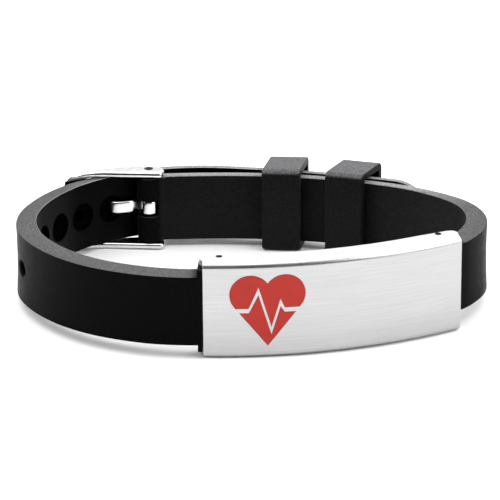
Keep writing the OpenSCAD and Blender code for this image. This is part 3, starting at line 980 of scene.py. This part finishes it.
# %% Make the two keepers
KEEPER_DEEP, KEEPER_H = 7.7, 15.15
KEEPER_FRONT, KEEPER_WALL = 1.3, 1.2    # walls over the band's inner face, and the other ones
TOP_MORE = 0.1                          # the upper wall is this much thicker
KEEPER_R, HOLLOW_R, KEEPER_EDGE = 1.1, 0.3, 0.2
KEEPER_LOW = 1.11                       # height of its lower side
KEEPER_CELLS = 8
SLANT_PAST = 1                          # the slant is measured from this far before to this far past it
KEEPER_MARKS, HOLLOW_MARKS = (0.46, 0.6, 0.75), (0, 0, 0)


def build_keeper(name, place, heading, skew):
    slip = KEEPER_DEEP * math.tan(math.radians(skew))
    in_h = KEEPER_H - 2 * KEEPER_WALL - TOP_MORE
    in_deep = KEEPER_DEEP - KEEPER_FRONT - KEEPER_WALL
    in_mid = (KEEPER_DEEP / 2 + (KEEPER_FRONT - KEEPER_WALL) / 2, KEEPER_H / 2 - TOP_MORE / 2)
    outline = round_box(KEEPER_DEEP, KEEPER_H, KEEPER_R, (KEEPER_DEEP / 2, KEEPER_H / 2))
    hollow = round_box(in_deep, in_h, HOLLOW_R, in_mid)
    a = math.radians(heading)
    bm = bmesh.new()
    marks = {}

    def ring(points, share, mark):
        verts = []
        for y, z in points:
            x = (share - 0.5) * KEEPER_LEN + slip * (y + SLANT_PAST) / (KEEPER_DEEP + 2 * SLANT_PAST)
            east = place[0] + x * math.cos(a) - y * math.sin(a)
            north = place[1] + x * math.sin(a) + y * math.cos(a)
            vert = bm.verts.new((east, north, KEEPER_LOW + z))
            marks[vert] = mark
            verts.append(vert)
        return verts

    shares = [k / KEEPER_CELLS for k in range(KEEPER_CELLS + 1)]
    rings = [ring(outline, s, KEEPER_MARKS) for s in shares]
    rings += [ring(hollow, 1 - s, HOLLOW_MARKS) for s in shares]
    bridge(bm, rings + rings[:1])
    finish_piece(
        name + "_skin", bm, black_silicone, name, KEEPER_EDGE, (), marks, SKIN_LAYERS)


for row in KEEPERS:
    build_keeper(*row)

# %% [markdown]
# Cutting and wrapping. The plate has a pocket for the enamel and holes for its pins. Drawing those
# into a grid of quads would be hard, so they are cut out with a boolean, which leaves clean walls.
# A boolean needs closed shapes, and those come from an outline in a plane, made thick.

# %% Outlines and closed shapes
CUT_PAST = 1           # a cutter reaches this far past what it cuts, in mm


def arc_points(centre, r, begin, end, count):
    turns = [math.radians(begin + (end - begin) * k / count) for k in range(count + 1)]
    return [Vector(centre) + r * Vector((math.cos(t), math.sin(t))) for t in turns]


def circle(centre, r, count=24):
    return arc_points(centre, r, 0, 360 - 360 / count, count - 1)


def prism(outline, low, high):
    """A closed shape: an outline in x and y, between two heights."""
    bm = bmesh.new()
    rings = [[bm.verts.new((x, y, z)) for x, y in outline] for z in (low, high)]
    bm.faces.new(rings[0][::-1])
    bm.faces.new(rings[1])
    bridge(bm, rings)
    bmesh.ops.recalc_face_normals(bm, faces=bm.faces)
    return bm


print("points round a circle:", len(circle((0, 0), 1)))

# %% Join, cut and slice


def joined(*parts):
    whole = bmesh.new()
    for part in parts:
        mesh = bpy.data.meshes.new("part")
        part.to_mesh(mesh)
        part.free()
        whole.from_mesh(mesh)
        bpy.data.meshes.remove(mesh)
    return whole


def cut_away(body, cutter):
    """The body with the cutter's shape taken out of it."""
    things = []
    for name, bm in (("body", body), ("cutter", cutter)):
        mesh = bpy.data.meshes.new(name)
        bm.to_mesh(mesh)
        bm.free()
        things.append(bpy.data.objects.new(name, mesh))
        scene.collection.objects.link(things[-1])
    boolean = things[0].modifiers.new("cut", "BOOLEAN")
    boolean.object = things[1]
    boolean.solver = "EXACT"
    bpy.context.view_layer.update()
    result = bmesh.new()
    result.from_object(things[0], bpy.context.evaluated_depsgraph_get())
    for thing in things:
        bpy.data.meshes.remove(thing.data)
    return result


def sliced(bm, places):
    """Adds edges across the shape, so that it can bend there."""
    for x in places:
        everything = bm.verts[:] + bm.edges[:] + bm.faces[:]
        bmesh.ops.bisect_plane(bm, geom=everything, dist=1e-5, plane_co=(x, 0, 0), plane_no=(1, 0, 0))
    return bm


print("cutting helpers ready")

# %% [markdown]
# The emblem is a heart with a level line that beats once across it. The line stays bare steel and
# parts the enamel into two fields. It could be traced from a drawing, but the same formulas as in
# the solid model give its outline, so it lies just where the solid's does.

# %% The heart and the line across it
HEART_W, HEART_H = 12.4, 12.4
LOBE_SHARE, LOBE_CELLS = 0.272, 20
TIP_GROWS = 1.4        # a wider outline is longer by this much more at its tip
LINE_W = 0.75
EMBLEM_AT, EMBLEM_UP = -11.7, 8.4
# Columns: place along the line, height, width there as a share of the line's width.
PULSE = [
    (-8, 0, 1), (-3.1, 0, 1), (-1.5, 3.4, 1.7), (0.6, -3.6, 1.7), (2.1, 1.3, 1.7), (2.8, 0, 1), (8, 0, 1),
]


def heart(more):
    """The heart's outline, from its notch round one lobe to the tip and back round the other."""
    r = HEART_W * LOBE_SHARE
    tip = Vector((0, -HEART_H / 2 - more * TIP_GROWS))
    centre = Vector((HEART_W / 2 - r, HEART_H / 2 - r))
    r += more
    down = tip - centre
    reach = math.degrees(math.acos(r / down.length))
    notch = math.degrees(math.acos(centre.x / r))
    to_tip = math.degrees(math.atan2(down.y, down.x))
    side = arc_points(centre, r, 180 - notch, to_tip + reach, LOBE_CELLS) + [tip]
    return side + [Vector((-p.x, p.y)) for p in side[-2:0:-1]]


def pulse(width):
    upper = [(x, y + share * width / 2) for x, y, share in PULSE]
    lower = [(x, y - share * width / 2) for x, y, share in PULSE]
    return upper + lower[::-1]


def enamel_fields(deep, shallow, more, width):
    """The heart without its line, between two depths behind the plate's face, bent to its curve."""
    line = prism(pulse(width), -deep - CUT_PAST, CUT_PAST - shallow)
    fields = cut_away(prism(heart(more), -deep, -shallow), line)
    reach = int(HEART_W) // 2 + 1
    sliced(fields, [k / 2 for k in range(-2 * reach, 2 * reach + 1)])
    for vert in fields.verts:
        across, up, depth = vert.co.x, vert.co.y, -vert.co.z
        along = EMBLEM_AT + PLATE_R * math.asin(across / (PLATE_R - depth))
        vert.co = (*plate_point(along, depth), EMBLEM_UP + up)
    return fields


print("heart points:", len(heart(0)))

# %% [markdown]
# The real plate is one sheet of steel, pressed into a channel: a face that follows the wrist's
# curve, and two flanges whose ends bulge past the face. A curve with a profile could carry the
# section round, but the flanges grow deeper from their ends. So the section is drawn once as two
# skins, an outer and an inner one, and each ring of it is placed by formula.

# %% Section of the plate
PLATE_H, SHEET, EDGE_R, FOLD_R = 16.8, 1.1, 1.1, 0.15
FLANGE, FLANGE_END = 4.0, 3.6           # depth of a flange, and at its ends
FLANGE_OVER, BULGE_AT = 0.6, 2.45       # how far its ends stand past the face, and at what depth most
END_ROUND = 0.7                         # how far a bulge's lower side draws back
TAPER = 6.0            # length over which a flange grows from its end's depth to its full depth
SECTION_CELLS = 8


def channel_skins():
    """Matching points of the outer and inner skin: depth, height, and the way out at each."""
    outer, inner = [], []
    fold, half_h, n = SHEET + FOLD_R, PLATE_H / 2, SECTION_CELLS
    for k in range(n):
        outer.append((FLANGE_END + (EDGE_R - FLANGE_END) * k / n, 0, 0, -1))
        inner.append((FLANGE_END + (fold - FLANGE_END) * k / n, SHEET, 0, 1))
    for k in range(n + 1):
        s, c = math.sin(math.radians(90 * k / n)), math.cos(math.radians(90 * k / n))
        outer.append((EDGE_R * (1 - s), EDGE_R * (1 - c), -s, -c))
        inner.append((fold - FOLD_R * s, fold - FOLD_R * c, s, c))
    for k in range(1, n + 1):
        outer.append((0, EDGE_R + (half_h - EDGE_R) * k / n, -1, 0))
        inner.append((SHEET, fold + (half_h - fold) * k / n, 1, 0))
    for skin in (outer, inner):
        skin += [(depth, PLATE_H - height, nd, -nh) for depth, height, nd, nh in skin[-2::-1]]
    return outer, inner


def flange_deep(along):
    """Depth of the flanges at a distance round the plate."""
    share = ramp(abs(along), PLATE_END - END_ROUND, PLATE_END - TAPER)
    return FLANGE_END + (FLANGE - FLANGE_END) * share


def past_end(depth):
    """How far the plate's end stands past the face's end, at a depth."""
    if depth <= SHEET:
        return 0.0
    if depth <= BULGE_AT:
        return FLANGE_OVER * math.sin(math.radians(90) * (depth - SHEET) / (BULGE_AT - SHEET))
    share = min(1.0, (depth - BULGE_AT) / (FLANGE_END - BULGE_AT))
    return FLANGE_OVER - (FLANGE_OVER + END_ROUND) * (1 - math.sqrt(1 - share ** 2))


outer_skin, inner_skin = channel_skins()
print("points round the section:", len(outer_skin) + len(inner_skin))

# %% [markdown]
# The section is carried round the curve in even steps. Each end has a few more rings that draw in
# round a quarter circle. They soften the cut edge of the sheet, which a bevel would do less evenly
# where the flanges bulge.

# %% Carry the section round the curve
PLATE_CELLS = 110
MIDDLE = 0.99          # share of the half length that the even steps fill
BULGE_FROM = 0.85      # the bulge of the ends begins at this share of the half length
TIP_SOFT = 0.12        # rounding of the plate's two ends
TIP_TURNS = (0, 30, 60, 90)


def plate_stations():
    """Shares of the plate's half length, with how far each is pulled back and inset at the ends."""
    turns = [math.radians(a) for a in TIP_TURNS]
    ends = [(1.0, TIP_SOFT * (1 - math.sin(t)), TIP_SOFT * (1 - math.cos(t))) for t in turns]
    middle = [(-MIDDLE + 2 * MIDDLE * k / PLATE_CELLS, 0.0, 0.0) for k in range(PLATE_CELLS + 1)]
    return [(-share, pull, inset) for share, pull, inset in reversed(ends)] + middle + ends


def plate_ring(bm, skin, station):
    share, pull, inset = station
    side = 1 if share > 0 else -1
    near_end = ramp(abs(share), BULGE_FROM, 1)
    verts = []
    for depth, height, nd, nh in skin:
        along = share * PLATE_END + side * (near_end * past_end(depth) - pull)
        deep = depth
        if depth > SHEET + FOLD_R:
            deep += (flange_deep(along) - FLANGE_END) * (depth - SHEET) / (FLANGE_END - SHEET)
        place = plate_point(along, deep - inset * nd)
        verts.append(bm.verts.new((*place, height - inset * nh)))
    return verts


def channel():
    """The two skins, joined along the flanges' edges and across the two ends."""
    bm = bmesh.new()
    stations = plate_stations()
    outer = [plate_ring(bm, outer_skin, s) for s in stations]
    inner = [plate_ring(bm, inner_skin, s) for s in stations]
    last = len(outer_skin) - 1
    for i in range(len(stations) - 1):
        for k in range(last):
            bm.faces.new([outer[i][k], outer[i + 1][k], outer[i + 1][k + 1], outer[i][k + 1]])
            bm.faces.new([inner[i][k + 1], inner[i + 1][k + 1], inner[i + 1][k], inner[i][k]])
        bm.faces.new([inner[i][0], inner[i + 1][0], outer[i + 1][0], outer[i][0]])
        bm.faces.new([outer[i][last], outer[i + 1][last], inner[i + 1][last], inner[i][last]])
    for i in (0, -1):
        for k in range(last):
            ring = [outer[i][k], outer[i][k + 1], inner[i][k + 1], inner[i][k]]
            bm.faces.new(ring if i == 0 else ring[::-1])
    bmesh.ops.recalc_face_normals(bm, faces=bm.faces)
    return bm


print("rings along the plate:", len(plate_stations()))

# %% [markdown]
# The face is glossy enough to show every unevenness of a mesh. Averaged normals would ripple round
# the pocket and the pin holes, where the cuts leave long thin faces, so the corner normals are set
# from the true curve instead. The true way out is known wherever a point lies on the outer skin.

# %% Make the plate
PIN_HOLE_R = 0.55
POCKET_DEEP, POCKET_ROOM = 0.4, 0.05
SKIN_NEAR = 0.03       # a point this near to the outer skin lies on it


def pin_hole(centre, r):
    """A round bar to cut a pin's hole with, through the whole height."""
    return prism(circle(centre, r), -CUT_PAST, PLATE_H + CUT_PAST)


def build_plate():
    holes = [pin_hole(plate_point(side * PIN_AT, PIN_IN), PIN_HOLE_R) for side in (-1, 1)]
    pocket = enamel_fields(POCKET_DEEP, -CUT_PAST, POCKET_ROOM, LINE_W)
    return cut_away(channel(), joined(pocket, *holes))


def true_normal(point):
    """The way out of the plate's outer skin, or nothing where a point isn't on that skin."""
    way = point.xy - PLATE_MID
    depth, height = PLATE_R - way.length, point.z
    in_depth = max(EDGE_R - depth, 0)
    below, above = max(EDGE_R - height, 0), max(height - PLATE_H + EDGE_R, 0)
    if abs(math.hypot(in_depth, max(below, above)) - EDGE_R) > SKIN_NEAR:
        return None
    out = way.normalized() * in_depth
    return Vector((out.x, out.y, above - below)).normalized()


def set_true_normals(piece, normal_at):
    """Sets the corner normals where the true surface is known, and keeps the others."""
    mesh = piece.data
    mesh.set_sharp_from_angle(angle=SHARP)
    normals = [corner.vector.copy() for corner in mesh.corner_normals]
    for polygon in mesh.polygons:
        if normal_at(level(polygon.center)) is None:
            continue
        for corner in polygon.loop_indices:
            spot = level(mesh.vertices[mesh.loops[corner].vertex_index].co)
            way = normal_at(spot)
            if way is not None:
                normals[corner] = leaned(way)
    mesh.normals_split_custom_set(normals)


id_plate = finish_piece("id_plate_skin", build_plate(), brushed_steel, "id_plate", 0)
set_true_normals(id_plate, true_normal)

# %% [markdown]
# Each field of enamel fills its pocket to just below the steel, so a fine line of shadow runs round
# it. A red face painted on the plate would have no such line. The fields are drawn as the pocket
# is, a little smaller all round, and take their normals from the plate's curve too.

# %% Make the enamel
ENAMEL_DEEP, ENAMEL_TOP = 0.35, 0.02
TOP_NEAR = 0.005       # a point this near to the enamel's top lies on it


def enamel_normal(point):
    way = point.xy - PLATE_MID
    if abs(PLATE_R - way.length - ENAMEL_TOP) > TOP_NEAR:
        return None
    return Vector((*way.normalized(), 0))


fields = enamel_fields(ENAMEL_DEEP, ENAMEL_TOP, 0, LINE_W + 2 * POCKET_ROOM)
emblem = finish_piece("emblem_skin", fields, red_enamel, "emblem", 0)
set_true_normals(emblem, enamel_normal)

# %% [markdown]
# The buckle's frame is a flat piece of steel, punched out as a U and bowed to the wrist, with all
# its edges tumbled round. Two bent boxes for the arms and one for the bar would show seams where
# they meet. So the U is drawn from the front as one outline, and its outer and inner faces follow
# two bows of their own.

# %% Outline and bows of the frame
ARM, BAR_W, BAR_T = 1.05, 4.0, 0.75     # height of an arm, width and thickness of the far bar
CORNER_R, INNER_R = 2.0, 0.8
FRAME_LEN, FRAME_TIP = 15.0, 2.5        # from the pin to the far end, and to the round end
ROOM_TOP, ROOM_LOW = 0.2, 0.1           # room between the band and the two arms
ARM_TOP = BAND_MID + BAND_HALF + ROOM_TOP + ARM
ARM_LOW = BAND_MID - BAND_HALF - ROOM_LOW - ARM
FAR_OUT, FAR_IN = Vector((-FRAME_LEN, 0.84)), Vector((-FRAME_LEN, -0.16))
NEAR_OUT, NEAR_IN, BEND = Vector((1.95, 0.84)), Vector((1.5, -2.7)), Vector((-7.75, 0.3))
OUT_RISE, IN_RISE = 1.6, 0.5            # of the bows over their chords
OUT_DROP, IN_DROP = 0.8, 1.1            # how far they come together in the round end
INNER_CELLS, CORNER_CELLS = 6, 10


def bow_y(p, q, rise, x):
    """Height at x of a bow from p to q, whose middle stands off its chord by rise."""
    half = (q - p).length / 2
    r = (half * half + rise * rise) / (2 * rise)
    way = (q - p).normalized()
    centre = (p + q) / 2 + Vector((-way.y, way.x)) * (rise - r)
    side = 1 if rise * way.x > 0 else -1
    return centre.y + side * math.sqrt(max(r * r - (x - centre.x) ** 2, 0))


def rounded_off(x, begin):
    """How far a quarter circle from begin to the frame's round end has come down at x, from 0 to 1."""
    share = (x - begin) / (FRAME_TIP - begin)
    return 1 - math.sqrt(max(0, 1 - share ** 2))


def frame_out(x):
    if x < NEAR_OUT.x:
        return bow_y(FAR_OUT, NEAR_OUT, OUT_RISE, x)
    return NEAR_OUT.y - OUT_DROP * rounded_off(x, NEAR_OUT.x)


def frame_in(x):
    if x < BEND.x:
        return bow_y(FAR_IN, BEND, IN_RISE, x)
    if x < NEAR_IN.x:
        return BEND.y + (NEAR_IN.y - BEND.y) * (x - BEND.x) / (NEAR_IN.x - BEND.x)
    return NEAR_IN.y + IN_DROP * rounded_off(x, NEAR_IN.x)


def frame_outline():
    """The U from the front, as x and height."""
    out_x, in_x = CORNER_R - FRAME_LEN, BAR_W + INNER_R - FRAME_LEN
    inner_low, inner_top = ARM_LOW + ARM + INNER_R, ARM_TOP - ARM - INNER_R
    points = [Vector((FRAME_TIP, ARM_LOW)), Vector((FRAME_TIP, ARM_LOW + ARM))]
    points += arc_points((in_x, inner_low), INNER_R, 270, 180, INNER_CELLS)
    points += arc_points((in_x, inner_top), INNER_R, 180, 90, INNER_CELLS)
    points += [Vector((FRAME_TIP, ARM_TOP - ARM)), Vector((FRAME_TIP, ARM_TOP))]
    points += arc_points((out_x, ARM_TOP - CORNER_R), CORNER_R, 90, 180, CORNER_CELLS)
    return points + arc_points((out_x, ARM_LOW + CORNER_R), CORNER_R, 180, 270, CORNER_CELLS)


print("frame outline points:", len(frame_outline()))

# %% [markdown]
# The outline is made thick, cut into strips, and each strip is moved to the two bows. The strips
# keep clear of the outline's own corners, because a bevel can't be wider than the edges beside it.
# The bevel comes before the pin's hole and the room behind the bar are cut, so that these stay
# crisp. The steel that faces this room is marked for painted shade.

# %% Make the frame
FRAME_CUTS = [-12.6, -12.1, -11.6] + [-9.8 + 0.5 * k for k in range(24)]
FRAME_SOFT = 0.45      # rounding of its edges
EYE_HOLE_R = 0.8
ROOM_X = (-15.1, -14.5, -14, -13, -12, -11, -10, -9)
ROOM_IN = -4
SHADE_TO, SHADE_NEAR = -9.5, 0.05


def bowed_frame():
    """The U with its two bows and its rounded edges."""
    bm = sliced(prism(frame_outline(), 0, 1), FRAME_CUTS)
    for vert in bm.verts:
        x, height, outward = vert.co
        y = frame_out(x) if outward > 0.5 else frame_in(x)
        vert.co = (BUCKLE_AT.x + x, BUCKLE_AT.y + y, height)
    bmesh.ops.recalc_face_normals(bm, faces=bm.faces)
    edges = [e for e in bm.edges if len(e.link_faces) == 2 and e.calc_face_angle(0) > SHARP]
    bmesh.ops.bevel(
        bm, geom=edges, offset=FRAME_SOFT, segments=4, profile=0.5, affect="EDGES", clamp_overlap=True)
    return bm


def build_frame():
    low, top = ARM_LOW + ARM, ARM_TOP - ARM
    line = [Vector((x, frame_out(x) - BAR_T)) for x in ROOM_X]
    back = [Vector((x, ROOM_IN)) for x in (ROOM_X[-1], ROOM_X[0])]
    room = prism([BUCKLE_AT + p for p in line + back], low, top)
    bm = cut_away(cut_away(bowed_frame(), pin_hole(BUCKLE_AT, EYE_HOLE_R)), room)
    # painted shade on the steel that faces the room behind the bar
    marks = {}
    for vert in bm.verts:
        x, y = vert.co.x - BUCKLE_AT.x, vert.co.y - BUCKLE_AT.y
        inside = low - SHADE_NEAR < vert.co.z < top + SHADE_NEAR
        marks[vert] = (1 if inside and x < SHADE_TO and y < frame_out(x) - BAR_T + SHADE_NEAR else 0,)
    return finish_piece(
        "buckle_frame_skin", bm, polished_steel, "buckle_frame", 0, (), marks, ("painted_shade",))


def smooth_by_angle(piece):
    piece.data.set_sharp_from_angle(angle=SHARP)
    even = piece.modifiers.new("even", "WEIGHTED_NORMAL")
    even.keep_sharp = True


smooth_by_angle(build_frame())

# %% [markdown]
# The prong is a strip of steel that is rolled round the pin, runs inside the band, and comes out
# through a hole onto the frame's far bar. A curve with a bevel would keep one width and thickness,
# but the strip gets narrower behind its loop and thinner at its tip. So it is swept by hand: a
# section with round corners follows a line whose corners are eased, and changes on the way.

# %% The prong's line
PRONG_T, PRONG_W, LOOP_W = 0.7, 2.2, 2.6
BUCKLE_PIN_R, PIN_ROOM = 0.75, 0.1
LOOP_MID = BUCKLE_PIN_R + PIN_ROOM + PRONG_T / 2
LOOP_TURNS, LOOP_CELLS = (152, 444), 44
LOOP_NARROWS = 0.9     # the loop's far side is narrower by this much
# The prong's middle line from the loop, in plan, from the pin's middle.
PRONG_LINE = [(0, LOOP_MID), (-1.5, 1.2), (-3.1, 0.6), (-5.75, 0.6), (-8.1, 2.8), (-14.9, 1.9)]
EASE = 0.75
NARROWS = (-1.2, -2.2)                  # from the loop's width to the prong's
TIP_THICK, TIP_THINS = 0.6, (-14.9, -13.9)   # as a share of its thickness
# painted shade: the prong darkens where it bends towards its loop
SHADE_RISES, SHADE_FALLS = (-3.0, -2.6), (-1.4, -0.8)


def eased(points, cut, count=5):
    """A line through the points whose corners are curves."""
    points = [Vector(p) for p in points]
    line = [points[0]]
    for before, corner, after in zip(points, points[1:], points[2:]):
        near = min(cut, (before - corner).length / 2.1, (after - corner).length / 2.1)
        p, q = [corner + (other - corner).normalized() * near for other in (before, after)]
        for k in range(count + 1):
            t = k / count
            line.append(p.lerp(corner, t).lerp(corner.lerp(q, t), t))
    return line + [points[-1]]


def prong_path():
    """Places along the prong, with its width, thickness and painted shade there."""
    turns = arc_points((0, 0), LOOP_MID, *LOOP_TURNS, LOOP_CELLS)
    path = [(p, LOOP_W - LOOP_NARROWS * max(0, p.x / LOOP_MID) ** 3, PRONG_T, 0) for p in turns]
    for p in eased(PRONG_LINE, EASE):
        width = LOOP_W + (PRONG_W - LOOP_W) * ramp(p.x, *NARROWS)
        thick = PRONG_T * (TIP_THICK + (1 - TIP_THICK) * ramp(p.x, *TIP_THINS))
        painted_shade = ramp(p.x, *SHADE_RISES) * (1 - ramp(p.x, *SHADE_FALLS))
        path.append((p, width, thick, painted_shade))
    return path


print("sections along the prong:", len(prong_path()))

# %% Make the prong
PRONG_SOFT = 0.34      # rounding of the section's corners
LEAST_FLAT = 0.02      # what stays flat between two of them


def build_prong():
    path = prong_path()
    bm = bmesh.new()
    rings = []
    marks = {}
    for i, (p, width, thick, painted_shade) in enumerate(path):
        ahead = (path[min(i + 1, len(path) - 1)][0] - path[max(i - 1, 0)][0]).normalized()
        side = Vector((-ahead.y, ahead.x))
        section = round_box(thick, width, min(PRONG_SOFT, thick / 2 - LEAST_FLAT), (0, 0), 4, 3)
        verts = []
        for across, up in section:
            spot = BUCKLE_AT + p + side * across
            verts.append(bm.verts.new((*spot, BAND_MID + PRONG_UP + up)))
            marks[verts[-1]] = (painted_shade,)
        rings.append(verts)
    bridge(bm, rings)
    bm.faces.new(rings[0][::-1])
    bm.faces.new(rings[-1])
    return finish_piece(
        "buckle_prong_skin", bm, polished_steel, "buckle_prong", 0, (), marks, ("painted_shade",))


smooth_by_angle(build_prong())

# %% [markdown]
# The three pins are plain turned bars, and their solids already have the right shape, so they stay.
# New meshes would show no more. Their ends sit deep in the holes, where shade falls, so their steel is
# painted dark as painted shade, and they get a fine rounding. Welding comes first, because a imported
# solid has separate points for each face along its edges, and a bevel needs them joined.

# %% Finish the pins
WELD_WITHIN = 0.002
PIN_SHARP, PIN_EDGE = math.radians(40), 0.08

for name in ("plate_pin_left", "plate_pin_right", "buckle_pin"):
    node = nodes[name]
    for slot in node.material_slots:
        slot.material = shaded_pin_steel
    weld = node.modifiers.new("weld", "WELD")
    weld.merge_threshold = WELD_WITHIN * MM
    bevel = node.modifiers.new("round", "BEVEL")
    bevel.limit_method = "ANGLE"
    bevel.angle_limit = PIN_SHARP
    bevel.width = PIN_EDGE * MM
    bevel.segments = 3
    even = node.modifiers.new("even", "WEIGHTED_NORMAL")
    even.keep_sharp = False
    print(name, shaded_pin_steel.name)
